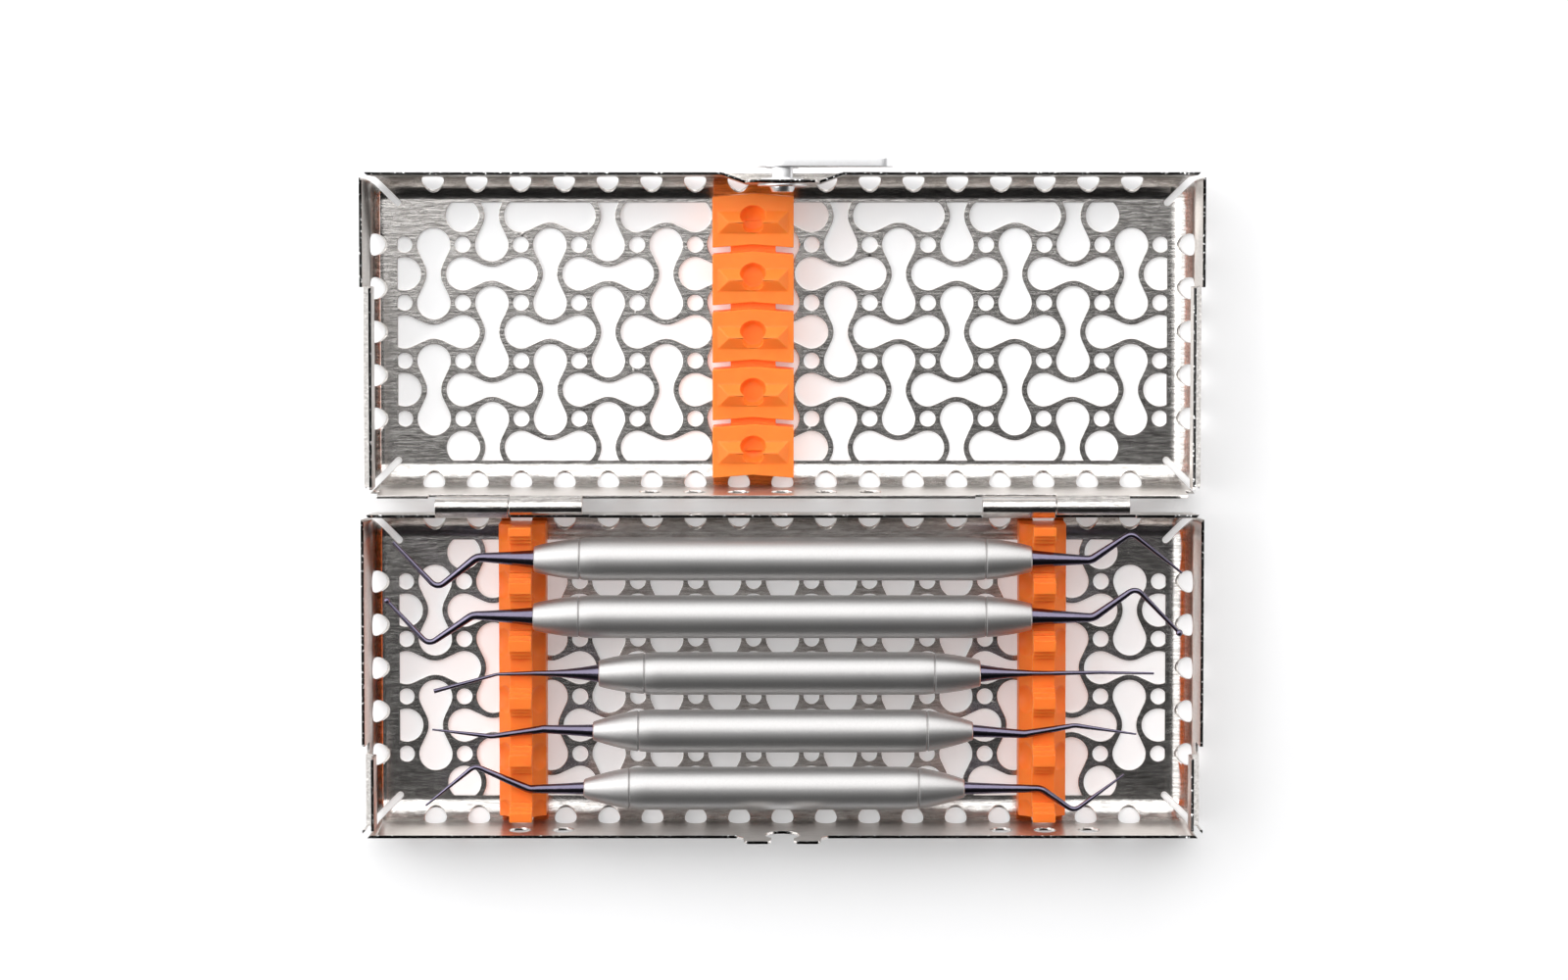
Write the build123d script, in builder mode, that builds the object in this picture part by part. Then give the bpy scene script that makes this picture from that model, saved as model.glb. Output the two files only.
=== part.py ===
from build123d import *
import os
from math import acos, cos, hypot, radians, sin, sqrt, tan

os.makedirs("parts", exist_ok=True)

# A stainless steel cassette for dental hand instruments, lying open. Millimetres. X runs along the
# hinge, the lid lies towards +Y and the base towards -Y, and the table is at Z = 0. The origin is
# midway along the object's length and depth, on the table.
# Each tray is described in its own frame: the hinge axis lies above Y = 0, and the tray reaches
# from there towards -Y, so that the wall with the latch or the keyhole is its front wall.

# Sheet and tray
sheet = 0.7
tray_length = 182.0
tray_width = 70.4
wall_height = 15.9
draft = 3.0  # degrees that the walls lean outwards
bend_radius = 2.7  # inside the fold between floor and wall
border = 7.0  # from the perforated field to the outside of the rim
closed_gap = 0.2  # between the two rims when the lid is shut

# Perforated field: dumbbells that lie and stand by turns, with a small hole between each four
pitch = 12.7
eye_radius = 3.6
neck_width = 3.0
small_hole_radius = 1.7

# Holes along the folds, and the few above them
fold_hole_radius = 2.375
fold_hole_pitch = 9.525
long_wall_holes = 17
short_wall_holes = 5
upper_hole_height = 10.6
rear_upper_holes = (-3, -2, -1, 0, 1, 2)  # counted in pitches from the middle of the wall
front_upper_holes = (-6, -5, 5, 6, 7)

# Corner slits
slit_width = 1.4

# Side walls: part of each stands further in, to pass inside the other tray's wall
inset = 2.1
inset_height = 18.0
shoulder_start = 8.6
shoulder_low = 10.2
shoulder_high = 11.4
shoulder_thinning = 0.6  # of the sheet, keeps the sloping shoulder as thick as the sheet
base_inset = (1.9, 17.6)  # from the front rim
lid_inset = (24.8, 68.4)
notch_width = 2.4

# Hinge
pin_radius = 1.0
pin_clearance = 0.04
pin_end_chamfer = 0.2
knuckle_radius = 1.75
knuckle_length = 15.7
knuckle_gap = 0.3
hinge_span = 59.0  # from the middle to the split of each pair of knuckles
relief_depth = 2.1  # below the hinge axis, where the other tray's knuckle turns
relief_margin = 1.5

# Latch, on the lid's front wall
latch_rise = 0.9  # of the latch axis above the rim
recess_depth = 1.8
recess_half = 8.0
recess_slope = 5.0
recess_floor = 7.0
tab_rise = 6.7
tab_corner = 2.0
shaft_radius = 1.9
shaft_clearance = 0.05
washer_radius = 4.6
washer_thickness = 0.4
neck_length = 2.1
neck_across = 4.5
stud_radius = 3.5
collar_length = 0.3
lever_thickness = 2.4
lever_head_radius = 5.5
lever_reach = 24.0
lever_tip_radius = 3.4
lever_edge = 0.5
disc_radius = 5.3
disc_thickness = 0.6
head_radius = 2.8
head_height = 1.2
head_gap = 0.05

# Keyhole, on the base's front wall
keyhole_clearance = 0.25
mouth_clearance = 0.2
keyhole_tab_rise = 5.4
keyhole_tab_half = 8.3
keyhole_tab_root = 1.7
keyhole_tab_corner = 1.2
mouth_corner = 0.7

# Instruments: handle tubes with a ferrule at each end
row_pitch = 12.5
row_shift = 0.6  # of the rows towards the hinge
handle_radius = 4.65
handle_wall = 0.9
shoulder_length = 3.5
ring_radius = 4.42  # where the ferrule meets the tube
ring_chamfer = 0.25
ferrule_length = 9.9
ferrule_end_chamfer = 0.2
spigot_length = 6.0
spigot_clearance = 0.03
root_radius = 1.1
root_depth = 6.0
root_clearance = 0.02
first_bend_radius = 3.0
second_bend_radius = 2.0
shank_sections = 36
ball_radius = 0.75

# Silicone rails
rail_x = 56.6
rail_half_width = 5.1
web_half_width = 2.45
rail_front = 31.5  # from the tray's middle
rail_rear = 32.5
flank_low = 8.5
flank_high = 12.0
saddle_height = 13.5
saddle_half = 3.2
rail_crest = 17.5
rib_count = 3
rib_run = 0.9
rail_chamfer = 1.2
scoop_radius = 4.6
scoop_offset = 6.5
scoop_height = 12.4
seat_clearance = 0.3
plug_clearance = 0.1
plug_lift = 0.1  # of each plug's end above the table

# Lid rail
lid_rail_half_width = 8.8
block_height = 9.1
block_length = 11.0
block_shift = 0.25  # of each block from its row, towards the hinge
block_chevron = 0.7
ridge_height = 2.2
ridge_width = 4.8
ridge_length = 15.2
bowl_radius = 3.0
bowl_shift = 0.65  # of the bowl from the middle of its block, towards the front
link_half_width = 4.9
link_height = 7.0

# Worked out from the sizes above
lean = tan(radians(draft))
hinge_height = wall_height + closed_gap / 2
tray_middle = -(knuckle_radius + tray_width / 2)
front_rim = -(knuckle_radius + tray_width)
field_length = tray_length - 2 * border
field_width = tray_width - 2 * border
fold_radius = bend_radius + sheet
sheet_across = sheet * cos(radians(draft))  # measured square to a leaning wall
latch_height = wall_height + latch_rise
latch_along = latch_rise / cos(radians(draft))  # from the rim, up the leaning wall
keyhole_height = 2 * hinge_height - latch_height
keyhole_radius = stud_radius + keyhole_clearance
mouth_half = neck_across / 2 + mouth_clearance
collar_start = washer_thickness + neck_length
lever_start = collar_start + collar_length
lever_end = lever_start + lever_thickness
disc_end = -(sheet_across + disc_thickness)
base_reach = -front_rim + keyhole_tab_rise * sin(radians(draft))
lever_top = latch_along + lever_head_radius - lever_edge
lever_lean = lever_end * cos(radians(draft)) + lever_top * sin(radians(draft))
lid_reach = -front_rim - recess_depth + lever_lean
hinge_y = (base_reach - lid_reach) / 2

base_frame = Location((0, hinge_y, 0))
lid_frame = Location((0, hinge_y, 0), (0, 0, 180))


def wall_place(turn, reach, height, tilt):
    """A place that faces out of the wall found at this turn about the tray's middle."""
    return Location((0, tray_middle, 0), (0, 0, turn)) * Location((0, -reach, height), (tilt, 0, 0))


def dumbbell_field():
    """The openings of the perforated field, centred on the tray's floor."""
    eye_distance = pitch / sqrt(2)
    waist_radius = (pitch - neck_width) / 2
    slope = radians(45) - acos((eye_radius + waist_radius) / eye_distance)
    eye_x = eye_radius * cos(slope)
    eye_y = pitch / 2 - eye_radius * sin(slope)
    waist_x = pitch / 2 - waist_radius * cos(slope)
    waist_y = waist_radius * sin(slope)
    with BuildSketch() as dumbbell:
        with Locations((0, pitch / 2), (0, -pitch / 2)):
            Circle(eye_radius)
        with BuildLine():
            Polyline((-eye_x, eye_y), (eye_x, eye_y), (waist_x, waist_y))
            ThreePointArc((waist_x, waist_y), (neck_width / 2, 0), (waist_x, -waist_y))
            Polyline((waist_x, -waist_y), (eye_x, -eye_y), (-eye_x, -eye_y), (-waist_x, -waist_y))
            ThreePointArc((-waist_x, -waist_y), (-neck_width / 2, 0), (-waist_x, waist_y))
            Line((-waist_x, waist_y), (-eye_x, eye_y))
        make_face()

    last_column = int(field_length / 2 // pitch)
    last_row = int(field_width / 2 // pitch)
    columns = range(-last_column - 1, last_column + 2)
    rows = range(-last_row, last_row + 1)
    places = [(column, row) for column in columns for row in rows]
    corners = [(column, row) for column, row in places if abs(column) == last_column and abs(row) == last_row]
    standing = [(c * pitch, r * pitch) for c, r in places if (c + r) % 2]
    lying = [(c * pitch, r * pitch) for c, r in places if not (c + r) % 2 and (c, r) not in corners]
    edge_depth = field_width / 2 - last_row * pitch
    edge_row = last_row * pitch + edge_depth / 2
    edges = [(x, edge_row if y > 0 else -edge_row) for x, y in lying if abs(y) == last_row * pitch]
    lone_eye = (last_column - 0.5) * pitch
    with BuildSketch() as field:
        with Locations(*standing):
            add(dumbbell.sketch)
        with Locations(*lying):
            add(dumbbell.sketch, rotation=90)
        with Locations(*edges):
            Rectangle(pitch, edge_depth)
        with GridLocations(2 * lone_eye, 2 * last_row * pitch, 2, 2):
            Circle(eye_radius)
        with GridLocations(pitch, pitch, 2 * last_column + 2, 2 * last_row):
            Circle(small_hole_radius)
        Rectangle(field_length, field_width, mode=Mode.INTERSECT)
    return field.sketch


def folded_block(base_height, length, width, edge_radius):
    """A block with leaning sides and rounded lower edges: the outside or the inside of a tray."""
    with BuildPart() as block:
        with BuildSketch(Location((0, tray_middle, base_height))):
            Rectangle(length, width)
        extrude(amount=wall_height, taper=-draft)
        fillet(block.edges().group_by(Axis.Z)[0], edge_radius)
    return block.part


def side_cut(side, inset_range):
    """What one side wall loses where it steps in, with the notch at its end nearer the hinge."""
    start, end = front_rim + inset_range[0], front_rim + inset_range[1] + notch_width
    with BuildPart() as cut:
        with Locations((side * tray_length / 2, (start + end) / 2, shoulder_start)):
            Box(border, end - start, wall_height, align=(Align.CENTER, Align.CENTER, Align.MIN))
    return cut.part


def side_step(side, inset_range):
    """The part of one side wall that stands further in and higher, with its sloping shoulder."""
    wall_low = tray_length / 2 - (wall_height - shoulder_start) * lean
    wall_high = tray_length / 2 - (wall_height - shoulder_low) * lean
    tongue = tray_length / 2 - inset
    drop = shoulder_thinning * sheet
    outline = [
        (wall_low, shoulder_start),
        (wall_high, shoulder_low),
        (tongue, shoulder_high),
        (tongue, inset_height),
        (tongue - sheet, inset_height),
        (tongue - sheet, shoulder_high - drop),
        (wall_high - sheet, shoulder_low - drop),
        (wall_low - sheet, shoulder_start),
    ]
    with BuildPart() as step:
        with BuildSketch(Location((0, front_rim + inset_range[1], 0), (90, 0, 0))):
            with BuildLine():
                Polyline(*[(side * x, z) for x, z in outline], close=True)
            make_face()
        extrude(amount=inset_range[1] - inset_range[0])
    return step.part


field_sketch = dumbbell_field()

# What both trays share, as it leaves the press: floor, walls, holes, slits and knuckles
foot_length = tray_length - 2 * wall_height * lean
foot_width = tray_width - 2 * wall_height * lean
inner_cut = 2 * sheet * (1 - lean)
outside = folded_block(0, foot_length, foot_width, fold_radius)
inside = folded_block(sheet, foot_length - inner_cut, foot_width - inner_cut, bend_radius)
with BuildPart() as stamping:
    add(outside)
    add(inside, mode=Mode.SUBTRACT)

    # Holes along the folds, square to the middle of each fold
    fold_inset = fold_radius * (1 / cos(radians(draft)) - lean)
    for turn, half, count in (
        (0, foot_width / 2, long_wall_holes),
        (90, foot_length / 2, short_wall_holes),
        (180, foot_width / 2, long_wall_holes),
        (270, foot_length / 2, short_wall_holes),
    ):
        with BuildSketch(wall_place(turn, half - fold_inset, fold_radius, 135 + draft / 2)):
            with GridLocations(fold_hole_pitch, 1, count, 1):
                Circle(fold_hole_radius)
        extrude(amount=2 * fold_radius, mode=Mode.SUBTRACT)

    # Holes above them, in the long walls
    for turn, places in ((0, front_upper_holes), (180, rear_upper_holes)):
        with BuildSketch(wall_place(turn, tray_width / 2, upper_hole_height, 90)):
            with Locations(*[(place * fold_hole_pitch, 0) for place in places]):
                Circle(fold_hole_radius)
        extrude(amount=-border / 2, mode=Mode.SUBTRACT)

    # Slits from the corners of the field to the corners of the rim
    with BuildSketch(Location((0, tray_middle, 0))):
        for side_x in (-1, 1):
            for side_y in (-1, 1):
                slit_x = side_x * (field_length / 2 + border)
                slit_y = side_y * (field_width / 2 + border)
                with Locations((slit_x, slit_y)):
                    SlotCenterToCenter(2 * border * sqrt(2), slit_width, rotation=45 * side_x * side_y)
    extrude(amount=2 * wall_height, mode=Mode.SUBTRACT)

    # Room for the other tray's knuckles, then this tray's own
    for split in (-hinge_span, hinge_span):
        relief_start = split - knuckle_gap / 2
        relief_length = knuckle_gap + knuckle_length + relief_margin
        with BuildSketch(Location((0, 0, hinge_height - relief_depth))):
            with Locations((relief_start + relief_length / 2, -knuckle_radius)):
                Rectangle(relief_length, 4 * sheet)
        extrude(amount=wall_height, mode=Mode.SUBTRACT)
        knuckle_start = split - knuckle_gap / 2 - knuckle_length
        with BuildSketch(Location((knuckle_start, 0, hinge_height), (90, 90, 0))):
            Circle(knuckle_radius)
            with Locations((-knuckle_radius - sheet / 2, -knuckle_radius / 2)):
                Rectangle(sheet, knuckle_radius)
            make_hull()
            Circle(pin_radius + pin_clearance, mode=Mode.SUBTRACT)
        extrude(amount=knuckle_length)

    # Perforated field
    with BuildSketch(Location((0, tray_middle, 0))):
        add(field_sketch)
    extrude(amount=sheet, mode=Mode.SUBTRACT)

# Base tray, with a keyhole in a tab on its front wall
with BuildPart() as base_tray:
    with Locations(base_frame):
        add(stamping.part)
        for side in (-1, 1):
            add(side_cut(side, base_inset), mode=Mode.SUBTRACT)
            add(side_step(side, base_inset))
    keyhole_plane = base_frame * Location((0, front_rim, wall_height), (90 + draft, 0, 0))
    root_half = keyhole_tab_half + keyhole_tab_root
    with BuildSketch(keyhole_plane) as keyhole_tab:
        with BuildLine():
            Polyline(
                (-root_half, -keyhole_tab_root),
                (root_half, -keyhole_tab_root),
                (root_half, 0),
                (keyhole_tab_half, keyhole_tab_root),
                (keyhole_tab_half, keyhole_tab_rise),
                (-keyhole_tab_half, keyhole_tab_rise),
                (-keyhole_tab_half, keyhole_tab_root),
                (-root_half, 0),
                close=True,
            )
        make_face()
        fillet(keyhole_tab.vertices().group_by(Axis.Z)[-1], keyhole_tab_corner)
    extrude(amount=-sheet_across)
    keyhole_drop = (keyhole_height - wall_height) / cos(radians(draft))
    mouth_length = keyhole_tab_rise - keyhole_drop
    with BuildSketch(keyhole_plane) as keyhole:
        with Locations((0, keyhole_drop)):
            Circle(keyhole_radius)
        with Locations((0, keyhole_drop + mouth_length / 2)):
            Rectangle(2 * mouth_half, mouth_length)
        with Locations((0, keyhole_tab_rise - mouth_corner / 2)):
            Trapezoid(2 * (mouth_half + mouth_corner), mouth_corner, 45, rotation=180)
    extrude(amount=border / 2, both=True, mode=Mode.SUBTRACT)
base_tray.part.label = "base_tray"
export_step(base_tray.part, "parts/base_tray.step")

# Lid tray, with a recessed panel and a tab that carries the latch
recess_plan = [
    (-recess_half - recess_slope, 0),
    (-recess_half, recess_depth),
    (recess_half, recess_depth),
    (recess_half + recess_slope, 0),
]
recess_wall_y = front_rim + (wall_height - recess_floor) * lean
with BuildPart() as lid_tray:
    with Locations(lid_frame):
        add(stamping.part)
        for side in (-1, 1):
            add(side_cut(side, lid_inset), mode=Mode.SUBTRACT)
            add(side_step(side, lid_inset))
    with BuildSketch(lid_frame * Location((0, front_rim, recess_floor))):
        Rectangle(2 * (recess_half + recess_slope), border / 2)
    extrude(amount=wall_height, mode=Mode.SUBTRACT)
    with BuildSketch(lid_frame * Location((0, recess_wall_y, recess_floor))):
        with BuildLine():
            Polyline(*recess_plan, *[(x, y + sheet) for x, y in reversed(recess_plan)], close=True)
        make_face()
    panel_rise = (wall_height - recess_floor) / cos(radians(draft))
    panel_way = Plane(lid_frame * Location((0, 0, 0), (draft, 0, 0))).z_dir
    extrude(amount=panel_rise, dir=panel_way)
    ledge_y = front_rim + (wall_height - recess_floor + sheet) * lean
    with BuildSketch(lid_frame * Location((0, ledge_y, recess_floor - sheet))):
        with BuildLine():
            ledge_plan = [(x, y + sheet) for x, y in recess_plan]
            Polyline(recess_plan[0], *ledge_plan, recess_plan[-1], close=True)
        make_face()
    extrude(amount=sheet, dir=panel_way)
    latch_wall = lid_frame * Location((0, front_rim + recess_depth, wall_height), (90 + draft, 0, 0))
    with BuildSketch(latch_wall) as latch_tab:
        with Locations((0, (tab_rise - recess_depth) / 2)):
            Rectangle(2 * recess_half, tab_rise + recess_depth)
        fillet(latch_tab.vertices().group_by(Axis.Z)[-1], tab_corner)
    extrude(amount=-sheet_across)
    with BuildSketch(latch_wall * Location((0, latch_along, 0))):
        Circle(shaft_radius + shaft_clearance)
    extrude(amount=border / 2, both=True, mode=Mode.SUBTRACT)
lid_tray.part.label = "lid_tray"
export_step(lid_tray.part, "parts/lid_tray.step")

# Hinge pins
for name, split in (("hinge_pin_left", -hinge_span), ("hinge_pin_right", hinge_span)):
    pin_length = 2 * knuckle_length + knuckle_gap
    with BuildPart() as pin:
        with BuildSketch(base_frame * Location((split - pin_length / 2, 0, hinge_height), (90, 90, 0))):
            Circle(pin_radius)
        extrude(amount=pin_length)
        chamfer(pin.edges(), pin_end_chamfer)
    pin.part.label = name
    export_step(pin.part, f"parts/{name}.step")

# Latch: stud and lever turn together in the lid's tab, between a washer and a disc
latch_plane = latch_wall * Location((0, latch_along, 0))
with BuildPart() as latch_stud:
    with BuildSketch(latch_plane * Location((0, 0, disc_end - head_gap))):
        Circle(shaft_radius)
    extrude(amount=washer_thickness - disc_end + head_gap)
    with BuildSketch(latch_plane * Location((0, 0, washer_thickness))):
        Circle(stud_radius)
        Rectangle(neck_across, 2 * stud_radius, mode=Mode.INTERSECT)
    extrude(amount=neck_length)
    with BuildSketch(latch_plane * Location((0, 0, collar_start))):
        Circle(stud_radius)
    extrude(amount=collar_length)
    with BuildSketch(latch_plane * Location((0, 0, lever_start))):
        Circle(shaft_radius)
    extrude(amount=lever_thickness)
    with BuildSketch(latch_plane * Location((0, 0, disc_end - head_gap))):
        Circle(head_radius)
    extrude(amount=-head_height, taper=25)
latch_stud.part.label = "latch_stud"
export_step(latch_stud.part, "parts/latch_stud.step")

with BuildPart() as latch_lever:
    with BuildSketch(latch_plane * Location((0, 0, lever_start))):
        Circle(lever_head_radius)
        with Locations((lever_tip_radius - lever_reach, 0)):
            Circle(lever_tip_radius)
        make_hull()
        Circle(shaft_radius + root_clearance, mode=Mode.SUBTRACT)
    extrude(amount=lever_thickness)
    outer_face = latch_lever.faces().sort_by(Axis.Y)[-1]
    chamfer(outer_face.outer_wire().edges(), lever_edge)
latch_lever.part.label = "latch_lever"
export_step(latch_lever.part, "parts/latch_lever.step")

for name, start, thickness, radius in (
    ("latch_washer", 0, washer_thickness, washer_radius),
    ("latch_disc", disc_end, disc_thickness, disc_radius),
):
    with BuildPart() as ring:
        with BuildSketch(latch_plane * Location((0, 0, start))):
            Circle(radius)
            Circle(shaft_radius + shaft_clearance, mode=Mode.SUBTRACT)
        extrude(amount=thickness)
    ring.part.label = name
    export_step(ring.part, f"parts/{name}.step")

# Base rails: a comb of ribbed pillars on a sloping body, plugged into the field
rows = [tray_middle + row_shift + step * row_pitch for step in (2, 1, 0, -1, -2)]
pillars = [tray_middle + row_shift + (step + 0.5) * row_pitch for step in (2, 1, 0, -1, -2, -3)]
rib_rise = (rail_crest - saddle_height) / rib_count
half_valley = [(saddle_half, saddle_height)]
for rib in range(rib_count):
    top = saddle_height + (rib + 1) * rib_rise
    half_valley.append((saddle_half + rib * rib_run, top))
    half_valley.append((saddle_half + (rib + 1) * rib_run, top))
half_valley.append((saddle_half + rib_count * rib_run, rail_crest + 1))
plug_rows = (-1, 0, 1)
plug_column = round(rail_x / pitch - 0.5) + 0.5
for name, side in (("base_rail_left", -1), ("base_rail_right", 1)):
    with BuildPart() as rail:
        with BuildSketch(base_frame * Location((side * rail_x, tray_middle + rail_rear, 0), (90, 0, 0))):
            with BuildLine():
                half_section = [
                    (rail_half_width, sheet),
                    (rail_half_width, flank_low),
                    (web_half_width, flank_high),
                    (web_half_width, rail_crest),
                ]
                Polyline(*half_section, *[(-x, z) for x, z in reversed(half_section)], close=True)
            make_face()
        extrude(amount=rail_front + rail_rear)
        foot_ends = rail.edges().group_by(Axis.Z)[0].filter_by(Axis.X)
        chamfer(foot_ends, rail_chamfer)
        with BuildSketch(base_frame * Location((side * rail_x - rail_half_width, 0, 0), (90, 90, 0))):
            for row in rows:
                with BuildLine():
                    left_side = [(row - y, z) for y, z in reversed(half_valley)]
                    Polyline(*left_side, *[(row + y, z) for y, z in half_valley], close=True)
                make_face()
        extrude(amount=2 * rail_half_width, mode=Mode.SUBTRACT)
        scoops = [(edge * scoop_offset, pillar) for edge in (-1, 1) for pillar in pillars]
        with Locations(base_frame * Location((side * rail_x, 0, scoop_height))):
            with Locations(*scoops):
                Sphere(scoop_radius, mode=Mode.SUBTRACT)
        with BuildSketch(base_frame * Location((side * plug_column * pitch, tray_middle, plug_lift))):
            with Locations(*[(0, row * pitch) for row in plug_rows]):
                Circle(eye_radius - plug_clearance)
        extrude(amount=sheet - plug_lift)
    rail.part.label = name
    export_step(rail.part, f"parts/{name}.step")

# Lid rail: five blocks on one strip, each with a ridge across it and a bowl in the ridge
with BuildPart() as lid_rail:
    for row in rows:
        block_place = lid_frame * Location((pitch / 2, row + block_shift, 0))
        with BuildSketch(block_place * Location((0, 0, sheet))):
            with BuildLine():
                Polyline(
                    (-lid_rail_half_width, -block_length / 2),
                    (0, -block_length / 2 - block_chevron),
                    (lid_rail_half_width, -block_length / 2),
                    (lid_rail_half_width, block_length / 2),
                    (0, block_length / 2 - block_chevron),
                    (-lid_rail_half_width, block_length / 2),
                    close=True,
                )
            make_face()
        extrude(amount=block_height - sheet)
        with BuildSketch(block_place * Location((0, 0, block_height))):
            Rectangle(ridge_length, ridge_width)
        extrude(amount=ridge_height, taper=45)
        with Locations(block_place * Location((0, -bowl_shift, block_height))):
            Sphere(bowl_radius, mode=Mode.SUBTRACT)
    strip_length = rows[0] - rows[-1]
    with BuildSketch(lid_frame * Location((pitch / 2, rows[2], sheet))):
        Rectangle(2 * link_half_width, strip_length)
    extrude(amount=link_height - sheet)
    with BuildSketch(lid_frame * Location((pitch / 2, tray_middle, plug_lift))):
        with Locations(*[(0, row * pitch) for row in plug_rows]):
            Circle(eye_radius - plug_clearance)
    extrude(amount=sheet - plug_lift)
lid_rail.part.label = "lid_rail"
export_step(lid_rail.part, "parts/lid_rail.step")

# Instruments, from the row at the hinge to the row at the front. Each working end has its route, in
# steps (outwards from the ferrule, sideways towards the hinge), and the shank's radii at its root, at
# its two bends and at its end. A flare of 1 makes a straight cone of the root, more makes it hollow.
instruments = [
    {
        "ends": (-53.6, 53.8),
        "ferrule_end": 2.8,
        "flare": 1.2,
        "left": ([(12.3, 0.4), (20.9, -6.4), (30.4, 3.7)], (1.95, 0.95, 0.65, 0.4), False),
        "right": ([(12.8, -0.2), (21.5, 5.7), (32.4, -3.0)], (1.95, 0.95, 0.6, 0.25), False),
    },
    {
        "ends": (-53.8, 53.8),
        "ferrule_end": 2.9,
        "flare": 1.2,
        "left": ([(13.1, 0.3), (22.6, -6.1), (31.6, 3.5)], (2.0, 0.9, 0.62, 0.38), True),
        "right": ([(13.3, -0.2), (22.5, 6.3), (31.9, -3.5)], (1.95, 0.95, 0.6, 0.38), True),
    },
    {
        "ends": (-39.7, 42.8),
        "ferrule_end": 2.9,
        "flare": 1.8,
        "left": ([(14.0, 0.0), (22.0, -0.2), (35.7, -3.9)], (1.95, 0.55, 0.34, 0.48), False),
        "right": ([(14.0, 0.0), (26.0, 0.2), (37.6, 0.0)], (1.95, 0.55, 0.36, 0.25), False),
    },
    {
        "ends": (-41.0, 41.2),
        "ferrule_end": 2.05,
        "flare": 1.2,
        "left": ([(10.7, 0.4), (22.0, -1.2), (34.8, 0.3)], (1.38, 0.9, 0.52, 0.2), False),
        "right": ([(11.3, -0.7), (22.1, 1.2), (35.4, -0.7)], (1.38, 0.9, 0.52, 0.2), False),
    },
    {
        "ends": (-43.0, 39.4),
        "ferrule_end": 2.05,
        "flare": 1.2,
        "left": ([(11.9, -0.2), (23.6, 4.9), (34.3, -3.8)], (1.35, 0.9, 0.55, 0.22), False),
        "right": ([(16.6, -0.1), (23.8, -5.0), (34.6, 3.0)], (1.35, 0.8, 0.55, 0.22), False),
    },
]


def shank_radius(distance, marks, radii, flare):
    """The shank's radius this far along it: a flare up to the first mark, then straight tapers."""
    if distance <= marks[0]:
        return radii[1] + (radii[0] - radii[1]) * (1 - distance / marks[0]) ** flare
    for near, far, first, last in zip(marks, marks[1:], radii[1:], radii[2:]):
        if distance <= far + 1e-6:
            return first + (last - first) * (distance - near) / (far - near)
    return radii[-1]


behind = (Align.MAX, Align.CENTER, Align.CENTER)


def working_end(end_place, side, flare, route, radii, has_ball):
    """One working end: a root in the ferrule and a bent shank that tapers outwards."""
    points = [(0, 0)] + [(x, side * y) for x, y in route]
    steps = [hypot(b[0] - a[0], b[1] - a[1]) for a, b in zip(points, points[1:])]
    marks = [steps[0], steps[0] + steps[1], sum(steps)]
    with BuildPart() as tip:
        with BuildLine(end_place, mode=Mode.PRIVATE) as path:
            FilletPolyline(*points, radius=(first_bend_radius, second_bend_radius))
        for section in range(shank_sections + 1):
            part_way = section / shank_sections
            radius = shank_radius(part_way * marks[-1], marks, radii, flare)
            with BuildSketch(Plane(origin=path.line @ part_way, z_dir=path.line % part_way)):
                Circle(radius)
        loft()
        with Locations(end_place):
            Box(root_depth, 2 * ring_radius, 2 * ring_radius, align=behind, mode=Mode.SUBTRACT)
        with BuildSketch(end_place * Location((0, 0, 0), (90, 90, 0))):
            Circle(root_radius)
        extrude(amount=-root_depth + root_clearance)
        if has_ball:
            with Locations(path.line @ 1):
                Sphere(ball_radius)
    return tip.part


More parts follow.
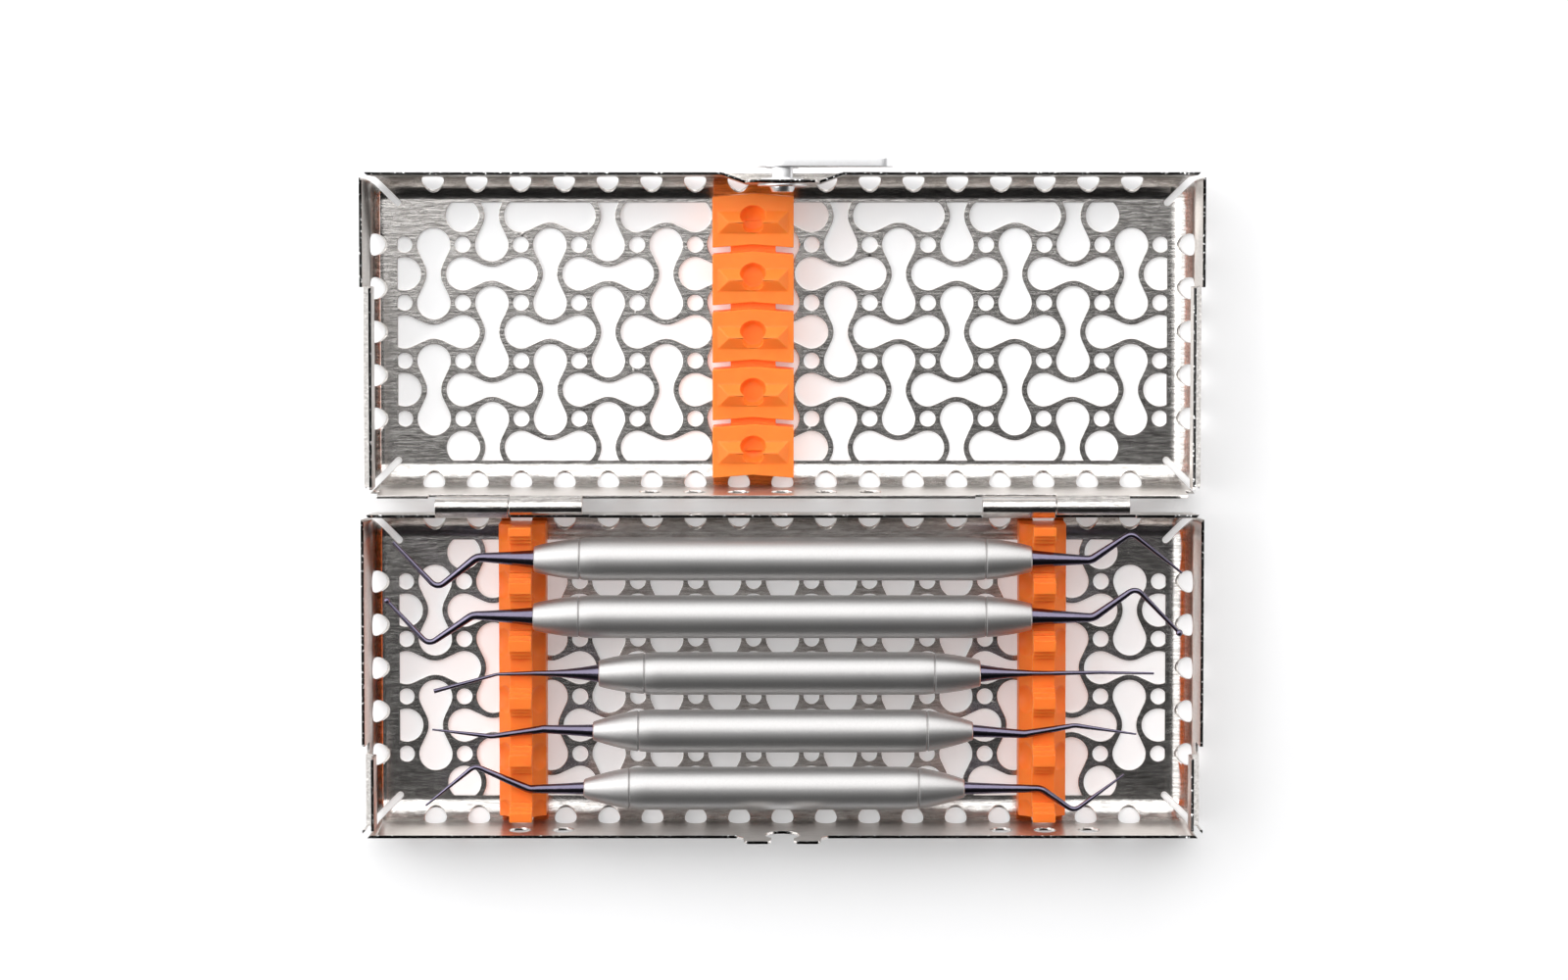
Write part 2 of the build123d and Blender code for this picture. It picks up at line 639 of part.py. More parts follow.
for number, instrument in enumerate(instruments, start=1):
    left_end, right_end = instrument["ends"]
    seat_radius = 0
    for side, name in ((-1, "left"), (1, "right")):
        route, radii, has_ball = instrument[name]
        first_reach = hypot(*route[0])
        seat_start = rail_x - web_half_width - abs(instrument["ends"][(side + 1) // 2])
        marks = (first_reach, 2 * first_reach)
        seat_radius = max(seat_radius, shank_radius(seat_start, marks, radii, instrument["flare"]))
    axis_height = saddle_height + seat_clearance + seat_radius
    axis_place = base_frame * Location((0, rows[number - 1], axis_height))
    middle_place = axis_place * Location(((left_end + right_end) / 2, 0, 0))
    turning_axis = Axis(axis_place.position, (1, 0, 0))

    # Handle tube, drawn in a little at both ends
    tube_half = (right_end - left_end) / 2 - ferrule_length
    bore = handle_radius - handle_wall
    with BuildPart() as handle:
        with BuildSketch(middle_place):
            with BuildLine():
                shoulder_start = tube_half - shoulder_length
                shoulder_middle = tube_half - shoulder_length / 2
                shoulder_bulge = ring_radius + 0.75 * (handle_radius - ring_radius)
                for side in (-1, 1):
                    ThreePointArc(
                        (side * shoulder_start, handle_radius),
                        (side * shoulder_middle, shoulder_bulge),
                        (side * (tube_half - ring_chamfer), ring_radius),
                    )
                    Polyline(
                        (side * (tube_half - ring_chamfer), ring_radius),
                        (side * tube_half, ring_radius - ring_chamfer),
                        (side * tube_half, bore),
                    )
                Line((-shoulder_start, handle_radius), (shoulder_start, handle_radius))
                Line((-tube_half, bore), (tube_half, bore))
            make_face()
        revolve(axis=turning_axis)
    handle.part.label = f"handle_{number}"
    export_step(handle.part, f"parts/handle_{number}.step")

    for side, name, end in ((-1, "left", left_end), (1, "right", right_end)):
        end_place = axis_place * Location((end, 0, 0), (0, 0, 0 if side > 0 else 180))
        with BuildPart() as ferrule:
            with BuildSketch(end_place):
                with BuildLine():
                    cone_middle = (ring_radius + instrument["ferrule_end"]) / 2 + ring_chamfer
                    Polyline(
                        (-root_depth, 0),
                        (-ferrule_length - spigot_length, 0),
                        (-ferrule_length - spigot_length, bore - spigot_clearance),
                        (-ferrule_length, bore - spigot_clearance),
                        (-ferrule_length, ring_radius - ring_chamfer),
                        (-ferrule_length + ring_chamfer, ring_radius),
                    )
                    ThreePointArc(
                        (-ferrule_length + ring_chamfer, ring_radius),
                        (-ferrule_length / 2, cone_middle),
                        (-ferrule_end_chamfer, instrument["ferrule_end"]),
                    )
                    Polyline(
                        (-ferrule_end_chamfer, instrument["ferrule_end"]),
                        (0, instrument["ferrule_end"] - ferrule_end_chamfer),
                        (0, root_radius + root_clearance),
                        (-root_depth, root_radius + root_clearance),
                        (-root_depth, 0),
                    )
                make_face()
            revolve(axis=turning_axis)
        ferrule.part.label = f"ferrule_{number}_{name}"
        export_step(ferrule.part, f"parts/ferrule_{number}_{name}.step")

        tip = working_end(end_place, side, instrument["flare"], *instrument[name])
        tip.label = f"tip_{number}_{name}"
        export_step(tip, f"parts/tip_{number}_{name}.step")
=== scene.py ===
import math

import bmesh
import bpy
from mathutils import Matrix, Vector


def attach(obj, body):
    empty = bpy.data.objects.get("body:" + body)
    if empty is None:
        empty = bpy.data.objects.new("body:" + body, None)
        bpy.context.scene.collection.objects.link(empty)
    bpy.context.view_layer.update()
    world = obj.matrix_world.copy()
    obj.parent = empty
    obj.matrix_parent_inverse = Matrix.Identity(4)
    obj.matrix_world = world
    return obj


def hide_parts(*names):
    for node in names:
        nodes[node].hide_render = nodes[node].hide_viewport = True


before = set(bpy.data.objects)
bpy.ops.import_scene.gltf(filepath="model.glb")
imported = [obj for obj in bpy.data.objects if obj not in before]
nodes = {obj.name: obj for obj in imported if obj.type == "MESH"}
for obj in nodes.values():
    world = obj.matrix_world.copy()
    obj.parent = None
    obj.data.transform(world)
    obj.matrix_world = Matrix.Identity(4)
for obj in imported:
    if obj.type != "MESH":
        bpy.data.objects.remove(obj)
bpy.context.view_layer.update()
scene = bpy.context.scene
print("frame loaded:", len(nodes), "nodes")


# helpers for node trees
def newMaterial(name):
    material = bpy.data.materials.new(name)
    material.use_nodes = True
    material.node_tree.nodes.clear()
    return material, material.node_tree


def addNode(tree, kind, place, inputs=None, **values):
    node = tree.nodes.new(kind)
    node.location = place
    for key, value in values.items():
        setattr(node, key, value)
    for key, value in (inputs or {}).items():
        node.inputs[key].default_value = value
    return node


def addMath(tree, place, operation, first, second=None):
    # first and second are outputs to link or plain numbers
    node = addNode(tree, "ShaderNodeMath", place, operation=operation)
    for socket, value in zip(node.inputs, (first, second)):
        if isinstance(value, bpy.types.NodeSocket):
            tree.links.new(value, socket)
        elif value is not None:
            socket.default_value = value
    return node.outputs[0]


def addRange(tree, place, value, span, low=0, high=1, curve="LINEAR"):
    # goes from low to high while the value goes through the span
    node = addNode(tree, "ShaderNodeMapRange", place, interpolation_type=curve, inputs={
        "From Min": span[0], "From Max": span[1], "To Min": low, "To Max": high})
    tree.links.new(value, node.inputs["Value"])
    return node.outputs["Result"]


def addSocket(group, side, kind, name, value=None):
    socket = group.interface.new_socket(name, in_out=side, socket_type="NodeSocket" + kind)
    if value is not None:
        socket.default_value = value


# camera, looking down on the open cassette
cameraSettings = {
    "place": (0.000344, 0.090073, 0.941117),
    "tilt": -3.359,  # degrees
    "lens": 98.947,
    "sensor": 36,
    "shiftY": -0.1,
    "clip": (0.01, 50),
}


def makeCamera(settings):
    data = bpy.data.cameras.new("camera")
    data.lens = settings["lens"]
    data.sensor_width = settings["sensor"]
    data.shift_y = settings["shiftY"]
    data.clip_start, data.clip_end = settings["clip"]
    camera = bpy.data.objects.new("camera", data)
    camera.location = settings["place"]
    camera.rotation_euler = (math.radians(settings["tilt"]), 0, 0)
    scene.collection.objects.link(camera)
    scene.camera = camera


makeCamera(cameraSettings)

# studio: soft boxes beyond the lid, at the left and low at the right, dark overhead and in front
studioSettings = {
    "zenithLevel": 0.09,
    "horizonLevel": 1.1,
    "horizonFade": (0.14, 0.42),  # Z of the direction, from the light horizon to the dark zenith
    "frontLevel": 0.17,
    "frontFade": (-0.6, 0.1),  # Y of the direction, from the dark front to the full level
}
softBoxes = {  # where each stands, its size and its brightness
    "keyBox": {"place": (-0.12, 0.50, 0.625), "size": (2.0, 1.04), "level": 2.0},
    "leftBox": {"place": (-0.72, 0.02, 0.48), "size": (1.2, 0.74), "level": 1.4},
    "rightBox": {"place": (1.1, 0.0, 0.36), "size": (1.4, 0.4), "level": 1.3},
}
floorSettings = {
    "half": 4,
    "drop": 0.0001,
    "paper": (0.86, 0.86, 0.8686),
    "lift": 0.28,  # added where the floor is seen, mirrored or seen through something
}


def softBox(name, settings):
    data = bpy.data.lights.new(name, "AREA")
    data.shape = "RECTANGLE"
    data.size, data.size_y = settings["size"]
    data.energy = settings["level"] * math.pi * data.size * data.size_y
    light = bpy.data.objects.new(name, data)
    light.location = settings["place"]
    light.rotation_euler = Vector(settings["place"]).to_track_quat("Z", "Y").to_euler()
    light.visible_camera = False
    scene.collection.objects.link(light)


def makeWorld(settings):
    world = bpy.data.worlds.new("studio")
    scene.world = world
    world.use_nodes = True
    tree = world.node_tree
    tree.nodes.clear()
    link = tree.links.new
    coords = addNode(tree, "ShaderNodeTexCoord", (-1200, 0))
    split = addNode(tree, "ShaderNodeSeparateXYZ", (-1000, 0))
    link(coords.outputs["Generated"], split.inputs[0])
    height = addRange(tree, (-780, 100), split.outputs["Z"], settings["horizonFade"],
                      settings["horizonLevel"], settings["zenithLevel"], "SMOOTHSTEP")
    front = addRange(tree, (-780, -180), split.outputs["Y"], settings["frontFade"],
                     settings["frontLevel"], 1, "SMOOTHSTEP")
    studio = addNode(tree, "ShaderNodeBackground", (-340, 60))
    link(addMath(tree, (-560, 0), "MULTIPLY", height, front), studio.inputs["Strength"])
    white = addNode(tree, "ShaderNodeBackground", (-340, -120), inputs={"Color": (1, 1, 1, 1)})
    path = addNode(tree, "ShaderNodeLightPath", (-560, 380))
    mix = addNode(tree, "ShaderNodeMixShader", (-100, 0))
    output = addNode(tree, "ShaderNodeOutputWorld", (100, 0))
    link(path.outputs["Is Camera Ray"], mix.inputs["Fac"])
    link(studio.outputs[0], mix.inputs[1])
    link(white.outputs[0], mix.inputs[2])
    link(mix.outputs[0], output.inputs["Surface"])


def makeFloor(settings):
    bm = bmesh.new()
    bmesh.ops.create_grid(bm, x_segments=1, y_segments=1, size=settings["half"])
    mesh = bpy.data.meshes.new("studioFloor")
    bm.to_mesh(mesh)
    bm.free()
    floor = bpy.data.objects.new("studioFloor", mesh)
    floor.location.z = -settings["drop"]
    scene.collection.objects.link(floor)
    material, tree = newMaterial("studioPaper")
    link = tree.links.new
    diffuse = addNode(tree, "ShaderNodeBsdfDiffuse", (-300, 100), inputs={
        "Color": (*settings["paper"], 1)})
    lift = addNode(tree, "ShaderNodeEmission", (-300, -60), inputs={
        "Color": (1, 1, 1, 1), "Strength": settings["lift"]})
    path = addNode(tree, "ShaderNodeLightPath", (-560, 320))
    seen = addMath(tree, (-380, 320), "MAXIMUM", path.outputs["Is Camera Ray"], path.outputs["Is Glossy Ray"])
    through = addMath(tree, (-200, 320), "MAXIMUM", seen, path.outputs["Is Transmission Ray"])
    both = addNode(tree, "ShaderNodeAddShader", (-100, -20))
    mix = addNode(tree, "ShaderNodeMixShader", (80, 60))
    output = addNode(tree, "ShaderNodeOutputMaterial", (260, 60))
    link(diffuse.outputs[0], both.inputs[0])
    link(lift.outputs[0], both.inputs[1])
    link(through, mix.inputs["Fac"])
    link(diffuse.outputs[0], mix.inputs[1])
    link(both.outputs[0], mix.inputs[2])
    link(mix.outputs[0], output.inputs["Surface"])
    mesh.materials.append(material)


for boxName, boxSettings in softBoxes.items():
    softBox(boxName, boxSettings)
makeWorld(studioSettings)
makeFloor(floorSettings)
scene.view_settings.view_transform = "Standard"
print("camera, lights and floor ready")


# shared effects
def makeGrainGroup():
    # drawn grain in steel: streaks along X on the floor and along Z on the end walls, and slow clouds
    group = bpy.data.node_groups.new("drawnGrain", "ShaderNodeTree")
    addSocket(group, "INPUT", "Vector", "Grain Scale", (140, 1300, 1300))
    addSocket(group, "INPUT", "Vector", "Upright Scale", (140, 1300, 140))
    addSocket(group, "INPUT", "Float", "Upright")
    addSocket(group, "INPUT", "Float", "Cloud Scale", 90)
    addSocket(group, "INPUT", "Float", "Contrast", 0.18)
    addSocket(group, "OUTPUT", "Float", "Streak")
    addSocket(group, "OUTPUT", "Float", "Cloud")
    link = group.links.new
    begin = addNode(group, "NodeGroupInput", (-1100, 0))
    end = addNode(group, "NodeGroupOutput", (500, 0))
    coords = addNode(group, "ShaderNodeTexCoord", (-900, 240))
    turn = addNode(group, "ShaderNodeMix", (-880, 60), data_type="VECTOR")
    link(begin.outputs["Upright"], turn.inputs["Factor"])
    link(begin.outputs["Grain Scale"], turn.inputs[4])
    link(begin.outputs["Upright Scale"], turn.inputs[5])
    stretch = addNode(group, "ShaderNodeVectorMath", (-680, 120), operation="MULTIPLY")
    link(coords.outputs["Object"], stretch.inputs[0])
    link(turn.outputs[1], stretch.inputs[1])
    streaks = addNode(group, "ShaderNodeTexNoise", (-460, 160), inputs={
        "Scale": 1, "Detail": 4, "Roughness": 0.75})
    link(stretch.outputs[0], streaks.inputs["Vector"])
    level = addNode(group, "ShaderNodeMapRange", (-220, 160))  # the noise's middle, stretched
    middle = 0.5
    contrast = begin.outputs["Contrast"]
    link(streaks.outputs[0], level.inputs["Value"])
    link(addMath(group, (-460, 400), "SUBTRACT", middle, contrast), level.inputs["From Min"])
    link(addMath(group, (-460, 560), "ADD", middle, contrast), level.inputs["From Max"])
    link(level.outputs[0], end.inputs["Streak"])
    clouds = addNode(group, "ShaderNodeTexNoise", (-460, -160), inputs={"Detail": 2})
    link(coords.outputs["Object"], clouds.inputs["Vector"])
    link(begin.outputs["Cloud Scale"], clouds.inputs["Scale"])
    link(clouds.outputs[0], end.inputs["Cloud"])
    return group


def makeFoldGroup():
    # the easy curve of the sheet up to each fold: a height that rises towards the walls
    group = bpy.data.node_groups.new("easyFold", "ShaderNodeTree")
    addSocket(group, "INPUT", "Vector", "Centre")
    addSocket(group, "INPUT", "Vector", "Half")
    addSocket(group, "INPUT", "Float", "Reach", 0.005)
    addSocket(group, "INPUT", "Float", "Left Reach", 0.003)
    addSocket(group, "OUTPUT", "Float", "Height")
    addSocket(group, "OUTPUT", "Float", "Side")
    link = group.links.new
    begin = addNode(group, "NodeGroupInput", (-900, 0))
    end = addNode(group, "NodeGroupOutput", (600, 0))
    coords = addNode(group, "ShaderNodeTexCoord", (-900, 240))
    offset = addNode(group, "ShaderNodeVectorMath", (-680, 160), operation="SUBTRACT")
    link(coords.outputs["Object"], offset.inputs[0])
    link(begin.outputs["Centre"], offset.inputs[1])
    size = addNode(group, "ShaderNodeVectorMath", (-500, 160), operation="ABSOLUTE")
    link(offset.outputs[0], size.inputs[0])
    room = addNode(group, "ShaderNodeVectorMath", (-320, 80), operation="SUBTRACT")
    link(begin.outputs["Half"], room.inputs[0])
    link(size.outputs[0], room.inputs[1])
    parts = addNode(group, "ShaderNodeSeparateXYZ", (-140, 80))
    link(room.outputs[0], parts.inputs[0])
    sides = addNode(group, "ShaderNodeSeparateXYZ", (-500, 340))
    link(offset.outputs[0], sides.inputs[0])
    sideReach = addNode(group, "ShaderNodeMix", (-140, 340))
    link(addMath(group, (-320, 340), "LESS_THAN", sides.outputs["X"], 0), sideReach.inputs["Factor"])
    link(begin.outputs["Reach"], sideReach.inputs["A"])
    link(begin.outputs["Left Reach"], sideReach.inputs["B"])
    reaches = {"X": sideReach.outputs["Result"], "Y": begin.outputs["Reach"]}
    rises = {}
    for row, axis in enumerate("XY"):
        rise = addNode(group, "ShaderNodeMapRange", (120, 200 - 260 * row),
                       interpolation_type="SMOOTHSTEP", inputs={"To Min": 1, "To Max": 0})
        link(parts.outputs[axis], rise.inputs["Value"])
        link(reaches[axis], rise.inputs["From Max"])
        rises[axis] = rise.outputs[0]
    link(rises["X"], end.inputs["Side"])
    link(addMath(group, (380, 0), "ADD", rises["X"], rises["Y"]), end.inputs["Height"])
    return group


grainGroup = makeGrainGroup()
foldGroup = makeFoldGroup()

# steels: dark and light base colours, the range of roughness, scales of the grain on floor and
# end walls and of the clouds, contrast and bump of the grain
steelFinishes = {
    "traySteel": {"dark": (0.44, 0.415, 0.395), "light": (0.87, 0.84, 0.81), "rough": (0.14, 0.18),
                  "grain": (300, 1800, 1800), "upright": (300, 1800, 300), "contrast": 0.16,
                  "cloud": 90, "bump": 0.55},
    "handleSteel": {"dark": (0.54, 0.53, 0.525), "light": (0.61, 0.60, 0.595), "rough": (0.45, 0.49),
                    "grain": (2600, 2600, 2600), "upright": (2600, 2600, 2600), "contrast": 0.25,
                    "cloud": 60, "bump": 0.12},
    # the latch's steel is painted near white, a painted reflection of the bright surroundings, and its
    # softened edges near black, a painted shade
    "latchLitSteel": {"dark": (0.86, 0.86, 0.87), "light": (0.94, 0.94, 0.95), "rough": (0.28, 0.4),
                   "grain": (500, 500, 500), "upright": (500, 500, 500), "contrast": 0.25,
                   "cloud": 200, "bump": 0.05},
    "latchShadedEdge": {"dark": (0.03, 0.03, 0.032), "light": (0.16, 0.16, 0.165), "rough": (0.3, 0.4),
                  "grain": (900, 900, 900), "upright": (900, 900, 900), "contrast": 0.2,
                  "cloud": 200, "bump": 0.05},
    "pinSteel": {"dark": (0.55, 0.54, 0.53), "light": (0.70, 0.69, 0.68), "rough": (0.2, 0.3),
                 "grain": (200, 5000, 5000), "upright": (200, 5000, 5000), "contrast": 0.2,
                 "cloud": 90, "bump": 0.2},
    "tipSteel": {"dark": (0.14, 0.125, 0.18), "light": (0.20, 0.18, 0.25), "rough": (0.18, 0.24),
                 "grain": (300, 2000, 2000), "upright": (300, 2000, 2000), "contrast": 0.25,
                 "cloud": 90, "bump": 0.05},
}
grainDepth = 0.00002


def steel(name, finish):
    material, tree = newMaterial(name)
    link = tree.links.new
    grain = addNode(tree, "ShaderNodeGroup", (-600, 0), name="grain", node_tree=grainGroup)
    grain.inputs["Grain Scale"].default_value = finish["grain"]
    grain.inputs["Upright Scale"].default_value = finish["upright"]
    grain.inputs["Contrast"].default_value = finish["contrast"]
    grain.inputs["Cloud Scale"].default_value = finish["cloud"]
    tone = addNode(tree, "ShaderNodeMix", (-200, 160), name="tone", data_type="RGBA")
    tone.inputs[6].default_value = (*finish["dark"], 1)
    tone.inputs[7].default_value = (*finish["light"], 1)
    rough = addNode(tree, "ShaderNodeMapRange", (-200, -100), name="rough", inputs={
        "To Min": finish["rough"][0], "To Max": finish["rough"][1]})
    bump = addNode(tree, "ShaderNodeBump", (-60, -300), name="bump", inputs={
        "Strength": finish["bump"], "Distance": grainDepth})
    shader = addNode(tree, "ShaderNodeBsdfPrincipled", (200, 0), name="shader", inputs={"Metallic": 1})
    output = addNode(tree, "ShaderNodeOutputMaterial", (480, 0))
    link(grain.outputs["Streak"], tone.inputs[0])
    link(tone.outputs[2], shader.inputs["Base Color"])
    link(grain.outputs["Cloud"], rough.inputs["Value"])
    link(rough.outputs[0], shader.inputs["Roughness"])
    link(grain.outputs["Streak"], bump.inputs["Height"])
    link(bump.outputs[0], shader.inputs["Normal"])
    link(shader.outputs[0], output.inputs["Surface"])
    return material


# the trays' rolled sheet. Each pair of facings is a part of the normal, from one state to the next
sheet = {
    "drawn": 0.75,  # how far the shine is drawn out
    "drawnTurn": 0.25,  # in turns, across the grain
    "uprightFacing": (0.6, 0.8),
    "streakRough": 0.03,
    "wallRough": 0.14,
    "wallRoughFacing": (0.75, 0.35),
    "wallCalm": 0.75,  # of the streaks on the walls
    "wallCalmFacing": (0.7, 0.3),
    # the walls' lighter tone is painted light
    "wallLitTone": 0.7,
    "wallLean": 4.0,  # of the end walls' inner faces, in fold heights
    "wallSpan": (0.003, 0.021),
    "foldRough": 0.32,
    "foldReach": 0.0048,
    "leftReach": 0.0018,
    "foldHeight": 0.0017,
    "foldFacing": (0, 0.05),
    "rimLow": {"base": (-0.091, -0.07386, 0), "lid": (-0.091, 0.00004, 0)},
    "rimHigh": {"base": (0.091, -0.00346, 0), "lid": (0.091, 0.07044, 0)},
    "footInset": 0.00153,  # of the wall's inner foot from the rim's outside
}
rimShadeGlints = {  # painted shade along the cut rims, with bright painted glints
    "facing": (0.8, 0.9),
    "height": (0.009, 0.0095),
    "fromHinge": (0.0026, 0.0028),
    "scale": 1500,
    "detail": 2,
    "spread": (0.6, 0.68),
    "tones": (0.04, 1),
}


def rolledSteel(name, finish, centre, half):
    # the same steel, polished along its grain and blurred across it
    material = steel(name, finish)
    tree = material.node_tree
    link = tree.links.new
    shader, grain, tone, rough, grainBump = (
        tree.nodes[key] for key in ("shader", "grain", "tone", "rough", "bump"))
    shader.inputs["Anisotropic"].default_value = sheet["drawn"]
    shader.inputs["Anisotropic Rotation"].default_value = sheet["drawnTurn"]

    # where on the tray, and which way it faces there
    coords = addNode(tree, "ShaderNodeTexCoord", (-1500, -1300))
    where = addNode(tree, "ShaderNodeSeparateXYZ", (-1300, -1300))
    link(coords.outputs["Object"], where.inputs[0])
    geometry = addNode(tree, "ShaderNodeNewGeometry", (-1500, -500))
    local = addNode(tree, "ShaderNodeVectorTransform", (-1300, -500), vector_type="NORMAL",
                    convert_from="WORLD", convert_to="OBJECT")
    faces = addNode(tree, "ShaderNodeSeparateXYZ", (-1100, -500))
    link(geometry.outputs["Normal"], local.inputs[0])
    link(local.outputs[0], faces.inputs[0])
    flat = addMath(tree, (-920, -260), "ABSOLUTE", faces.outputs["Z"])
    endFacing = addMath(tree, (-920, -420), "ABSOLUTE", faces.outputs["X"])
    upright = addRange(tree, (-760, -340), endFacing, sheet["uprightFacing"])
    link(upright, grain.inputs["Upright"])

    # the tangent that the shine is drawn out by
    along = addNode(tree, "ShaderNodeCombineXYZ", (-740, -520))
    back = addNode(tree, "ShaderNodeVectorTransform", (-560, -520), vector_type="VECTOR",
                   convert_from="OBJECT", convert_to="WORLD")
    link(faces.outputs["Z"], along.inputs["X"])
    link(addMath(tree, (-920, -600), "MULTIPLY", faces.outputs["X"], -1), along.inputs["Z"])
    link(along.outputs[0], back.inputs[0])
    link(back.outputs[0], shader.inputs["Tangent"])

    # calmer streaks on the walls, pulled to a lighter even tone: painted light on the walls
    calm = addRange(tree, (-920, 60), flat, sheet["wallCalmFacing"], 0, sheet["wallCalm"])
    plain = addNode(tree, "ShaderNodeMix", (-420, 20), inputs={"B": sheet["wallLitTone"]})
    link(grain.outputs["Streak"], plain.inputs["A"])
    link(calm, plain.inputs["Factor"])
    link(plain.outputs["Result"], tone.inputs[0])
    link(plain.outputs["Result"], grainBump.inputs["Height"])

    # cut rims: painted dark, a painted shade, with bright painted glints from a noise
    upward = addRange(tree, (-760, 700), faces.outputs["Z"], rimShadeGlints["facing"])
    above = addRange(tree, (-760, 960), where.outputs["Z"], rimShadeGlints["height"])
    aside = addMath(tree, (-940, 1220), "ABSOLUTE", where.outputs["Y"])
    away = addRange(tree, (-760, 1220), aside, rimShadeGlints["fromHinge"])
    cut = addMath(tree, (-560, 800), "MULTIPLY", upward, above)
    rim = addMath(tree, (-400, 900), "MULTIPLY", cut, away)
    glintNoise = addNode(tree, "ShaderNodeTexNoise", (-560, 560), inputs={
        "Scale": rimShadeGlints["scale"], "Detail": rimShadeGlints["detail"]})
    link(coords.outputs["Object"], glintNoise.inputs["Vector"])
    paintedGlints = addRange(tree, (-380, 560), glintNoise.outputs[0], rimShadeGlints["spread"], *rimShadeGlints["tones"])
    rimPaintedTone = addNode(tree, "ShaderNodeMix", (0, 300), data_type="RGBA")
    link(rim, rimPaintedTone.inputs[0])
    link(tone.outputs[2], rimPaintedTone.inputs[6])
    link(paintedGlints, rimPaintedTone.inputs[7])
    link(rimPaintedTone.outputs[2], shader.inputs["Base Color"])

    # rougher in the streaks, on the walls and in the folds of the end walls
    fold = addNode(tree, "ShaderNodeGroup", (-760, -1000), node_tree=foldGroup)
    fold.inputs["Centre"].default_value = centre
    fold.inputs["Half"].default_value = half
    fold.inputs["Reach"].default_value = sheet["foldReach"]
    fold.inputs["Left Reach"].default_value = sheet["leftReach"]
    streakRough = addRange(tree, (-400, -160), grain.outputs["Streak"], (0, 1), 0, sheet["streakRough"])
    wallRough = addRange(tree, (-760, -140), flat, sheet["wallRoughFacing"], 0, sheet["wallRough"])
    rougher = addMath(tree, (-60, -60), "ADD", rough.outputs[0], streakRough)
    roughest = addMath(tree, (60, -60), "ADD", rougher, wallRough)
    sideRough = addMath(tree, (60, -180), "MULTIPLY", fold.outputs["Side"], sheet["foldRough"])
    link(addMath(tree, (120, -120), "MAXIMUM", sideRough, roughest), shader.inputs["Roughness"])

    # the floor's easy curve up to the folds, and the end walls' inner faces
    inside = addRange(tree, (-760, -760), faces.outputs["Z"], sheet["foldFacing"])
    height = addMath(tree, (-520, -860), "MULTIPLY", inside, fold.outputs["Height"])
    facing = addMath(tree, (-1100, -1300), "MULTIPLY", where.outputs["X"], faces.outputs["X"])
    inward = addMath(tree, (-920, -1300), "LESS_THAN", facing, 0)
    endWall = addMath(tree, (-740, -1240), "MULTIPLY", inward, upright)
    lean = addRange(tree, (-920, -1480), where.outputs["Z"], sheet["wallSpan"], sheet["wallLean"], 0)
    eased = addMath(tree, (-560, -1240), "MULTIPLY", endWall, lean)
    foldBump = addNode(tree, "ShaderNodeBump", (0, -560), inputs={
        "Strength": 1, "Distance": sheet["foldHeight"]})
    link(addMath(tree, (-340, -960), "ADD", height, eased), foldBump.inputs["Height"])
    link(foldBump.outputs[0], grainBump.inputs["Normal"])
    return material


def traySheet(body):
    low, high = Vector(sheet["rimLow"][body]), Vector(sheet["rimHigh"][body])
    half = (high - low) / 2 - Vector((sheet["footInset"], sheet["footInset"], 0))
    return rolledSteel(body + "TraySteel", steelFinishes["traySteel"], (low + high) / 2, half)


# through is an emission in the silicone's own colour: a painted glow for light coming through the rails,
# stronger on the lid
siliconeFinishes = {
    "baseSilicone": {"dark": (0.94, 0.17, 0.022), "light": (0.98, 0.24, 0.034), "through": 0.1},
    "lidSilicone": {"dark": (0.96, 0.21, 0.03), "light": (0.98, 0.27, 0.042), "through": 0.14},
}
siliconeBody = {  # the same in both silicones
    "rough": 0.42,
    "specular": 0.3,
    "glow": 0.6,
    "glowRadius": (1.0, 0.32, 0.12),
    "glowScale": 0.0028,
    "cloudScale": 160,
    "cloudDetail": 3,
    "skinScale": 2600,
    "skinBump": 0.25,
    "skinDepth": 0.00003,
}


def silicone(name, finish, body):
    material, tree = newMaterial(name)
    link = tree.links.new
    coords = addNode(tree, "ShaderNodeTexCoord", (-800, 0))
    clouds = addNode(tree, "ShaderNodeTexNoise", (-600, 100), inputs={
        "Scale": body["cloudScale"], "Detail": body["cloudDetail"]})
    tone = addNode(tree, "ShaderNodeMix", (-200, 160), data_type="RGBA")
    tone.inputs[6].default_value = (*finish["dark"], 1)
    tone.inputs[7].default_value = (*finish["light"], 1)
    skin = addNode(tree, "ShaderNodeTexNoise", (-600, -200), inputs={"Scale": body["skinScale"]})
    bump = addNode(tree, "ShaderNodeBump", (-60, -200), inputs={
        "Strength": body["skinBump"], "Distance": body["skinDepth"]})
    shader = addNode(tree, "ShaderNodeBsdfPrincipled", (200, 0), inputs={
        "Roughness": body["rough"],
        "Specular IOR Level": body["specular"],
        "Subsurface Weight": body["glow"],
        "Subsurface Radius": body["glowRadius"],
        "Subsurface Scale": body["glowScale"],
        "Emission Strength": finish["through"]})
    output = addNode(tree, "ShaderNodeOutputMaterial", (480, 0))
    link(coords.outputs["Object"], clouds.inputs["Vector"])
    link(coords.outputs["Object"], skin.inputs["Vector"])
    link(clouds.outputs[0], tone.inputs[0])
    link(tone.outputs[2], shader.inputs["Base Color"])
    # painted glow: the emission takes the silicone's own colour
    link(tone.outputs[2], shader.inputs["Emission Color"])
    link(skin.outputs[0], bump.inputs["Height"])
    link(bump.outputs[0], shader.inputs["Normal"])
    link(shader.outputs[0], output.inputs["Surface"])
    return material


steels = {name: steel(name, steelFinishes[name])
          for name in ("handleSteel", "latchLitSteel", "latchShadedEdge", "pinSteel", "tipSteel")}
silicones = {body: silicone(body + "Silicone", siliconeFinishes[body + "Silicone"], siliconeBody)
             for body in ("base", "lid")}
print("steels and silicones ready")

# pieces that follow the frame's own shape with softened edges
softening = {
    "weld": 2e-6,
    "flatAngle": 0.002,  # radians, flatter edges are dissolved
    "sharpAngle": 35,  # degrees, sharper edges are softened
    "keepAngle": 28,  # degrees, sharper edges are shaded sharp
}


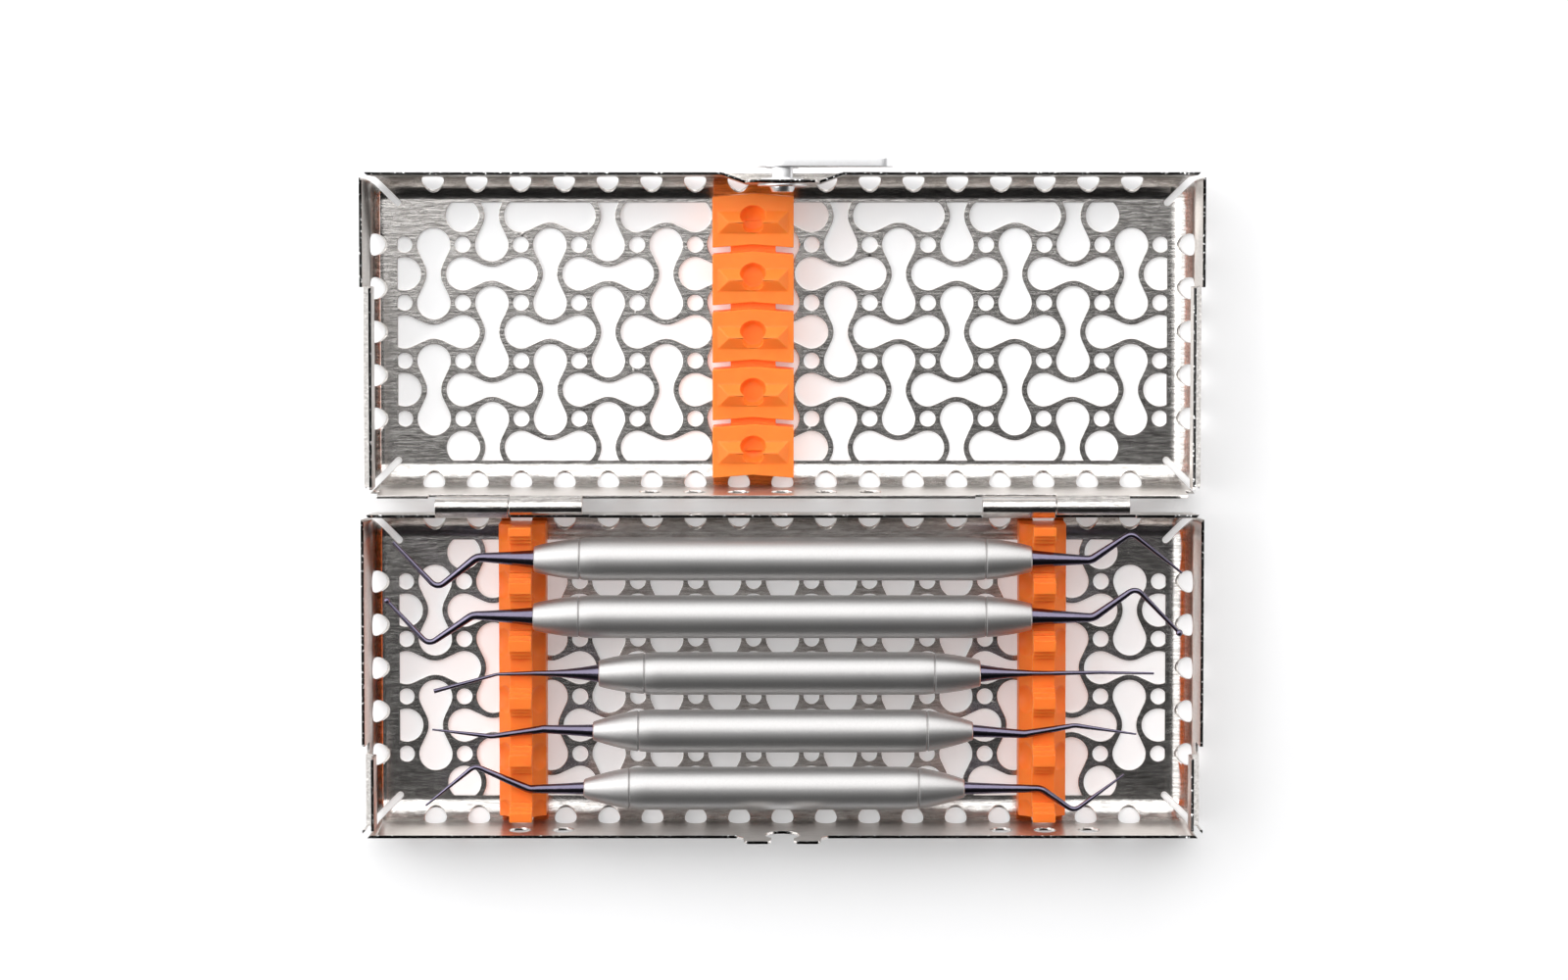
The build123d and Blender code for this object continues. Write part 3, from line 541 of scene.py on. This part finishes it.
def softened(nodeName, body, material, edge, segments, edgeMaterial=None):
    mesh = nodes[nodeName].data.copy()
    mesh.name = nodeName + "Skin"
    for attribute in list(mesh.attributes):
        if attribute.name == "custom_normal":
            mesh.attributes.remove(attribute)
    bm = bmesh.new()
    bm.from_mesh(mesh)
    bmesh.ops.remove_doubles(bm, verts=bm.verts, dist=softening["weld"])
    bmesh.ops.dissolve_limit(bm, angle_limit=softening["flatAngle"], verts=bm.verts, edges=bm.edges)
    sharpAngle = math.radians(softening["sharpAngle"])
    sharp = [e for e in bm.edges if e.is_manifold and e.calc_face_angle(0) > sharpAngle]
    bmesh.ops.bevel(bm, geom=sharp, offset=edge, offset_type="OFFSET", segments=segments, profile=0.5,
                    affect="EDGES", clamp_overlap=False, material=1 if edgeMaterial else 0)
    for face in bm.faces:
        face.smooth = True
    bm.to_mesh(mesh)
    bm.free()
    mesh.set_sharp_from_angle(angle=math.radians(softening["keepAngle"]))
    mesh.materials.clear()
    mesh.materials.append(material)
    if edgeMaterial:
        mesh.materials.append(edgeMaterial)
    piece = bpy.data.objects.new(nodeName + "Skin", mesh)
    scene.collection.objects.link(piece)
    weigh = piece.modifiers.new("weigh", "WEIGHTED_NORMAL")
    weigh.keep_sharp = True
    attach(piece, body)
    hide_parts(nodeName)
    return piece


def dress(nodeName, material):
    mesh = nodes[nodeName].data
    mesh.materials.clear()
    mesh.materials.append(material)


trayEdges = {"edge": 0.00013, "segments": 2}
for nodeName, body in (("base_tray", "base"), ("lid_tray", "lid")):
    tray = softened(nodeName, body, traySheet(body), **trayEdges)
print("trays dressed")

railEdges = {"edge": 0.00022, "segments": 3}
for nodeName, body in (("base_rail_left", "base"), ("base_rail_right", "base"), ("lid_rail", "lid")):
    rail = softened(nodeName, body, silicones[body], **railEdges)
print("rails dressed")

latchEdges = {"edge": 0.00016, "segments": 2}
latchPieces = {"latch_lever": "latch", "latch_stud": "latch", "latch_washer": "lid", "latch_disc": "lid"}
for nodeName, body in latchPieces.items():
    # the softened edges of the latch pieces take the near-black painted shade
    piece = softened(nodeName, body, steels["latchLitSteel"], edgeMaterial=steels["latchShadedEdge"], **latchEdges)
for side in ("left", "right"):
    dress(f"hinge_pin_{side}", steels["pinSteel"])
print("latch and hinges dressed")

instrumentCount = 5
for number in range(1, instrumentCount + 1):
    dress(f"handle_{number}", steels["handleSteel"])
    for end in ("left", "right"):
        dress(f"ferrule_{number}_{end}", steels["handleSteel"])
        dress(f"tip_{number}_{end}", steels["tipSteel"])
print("instruments dressed")
